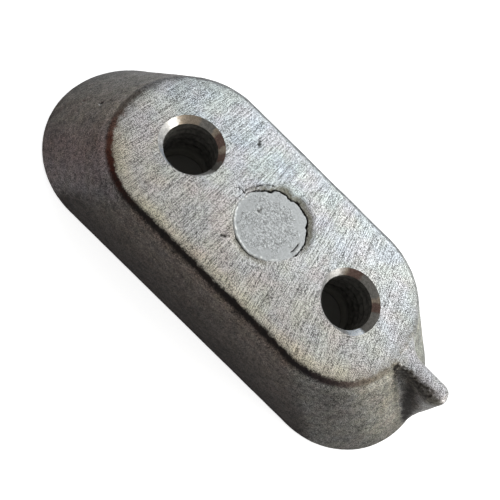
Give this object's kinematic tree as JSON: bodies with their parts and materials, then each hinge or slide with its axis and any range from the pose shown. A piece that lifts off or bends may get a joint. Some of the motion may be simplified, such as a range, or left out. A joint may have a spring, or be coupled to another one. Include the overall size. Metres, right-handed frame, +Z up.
{
  "type": "sacrificial anode",
  "caption": "Drafted bar-shaped sacrificial anode casting with rounded ends, tapped screw holes in its machined face and a small gate lug at one end",
  "frame": {"origin": "middle of the large cast face that the block rests on, below the middle between the two tapped holes", "axes": "+X along the block towards the gate lug, +Y across the block, +Z up out of the machined mounting face"},
  "size_m": [0.0652, 0.0264, 0.0118],
  "materials": {
    "cast_alloy": "as cast grey with a hand-ground bright mounting face"
  },
  "bodies": {
    "root": {"anode_block": "cast_alloy"}
  },
  "joints": []
}
